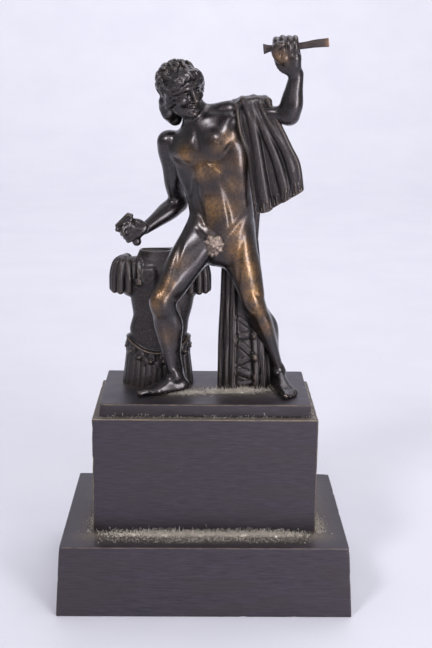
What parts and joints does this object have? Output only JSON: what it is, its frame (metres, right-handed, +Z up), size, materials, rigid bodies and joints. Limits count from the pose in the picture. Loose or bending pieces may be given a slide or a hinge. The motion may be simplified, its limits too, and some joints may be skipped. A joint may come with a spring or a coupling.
{
  "type": "bronze figure of a striding youth with armour",
  "caption": "Cabinet bronze of a nude youth lunging with an arm raised, cloak over his shoulder and a standing cuirass behind the bent leg, on a stepped rectangular plinth.",
  "frame": {"origin": "middle of the plinth's underside", "axes": "+Z up, -Y toward the viewer of the front, +X to that viewer's right"},
  "size_m": [0.096, 0.0638, 0.1807],
  "materials": {
    "plinth_bronze": "satin dark brown, fine horizontal brushing, edges rubbed to bare metal",
    "dark_bronze": "dark brown patina, polished, rubbed golden on the high places",
    "pale_metal": "bare pinkish metal, chased",
    "worn_copper": "patina worn through to copper-coloured metal"
  },
  "bodies": {
    "root": {"lower_plinth": "plinth_bronze", "upper_plinth": "plinth_bronze", "top_slab": "plinth_bronze", "warrior": "dark_bronze", "cuirass": "dark_bronze", "fig_leaf": "pale_metal", "raised_bar": "worn_copper"}
  },
  "joints": []
}
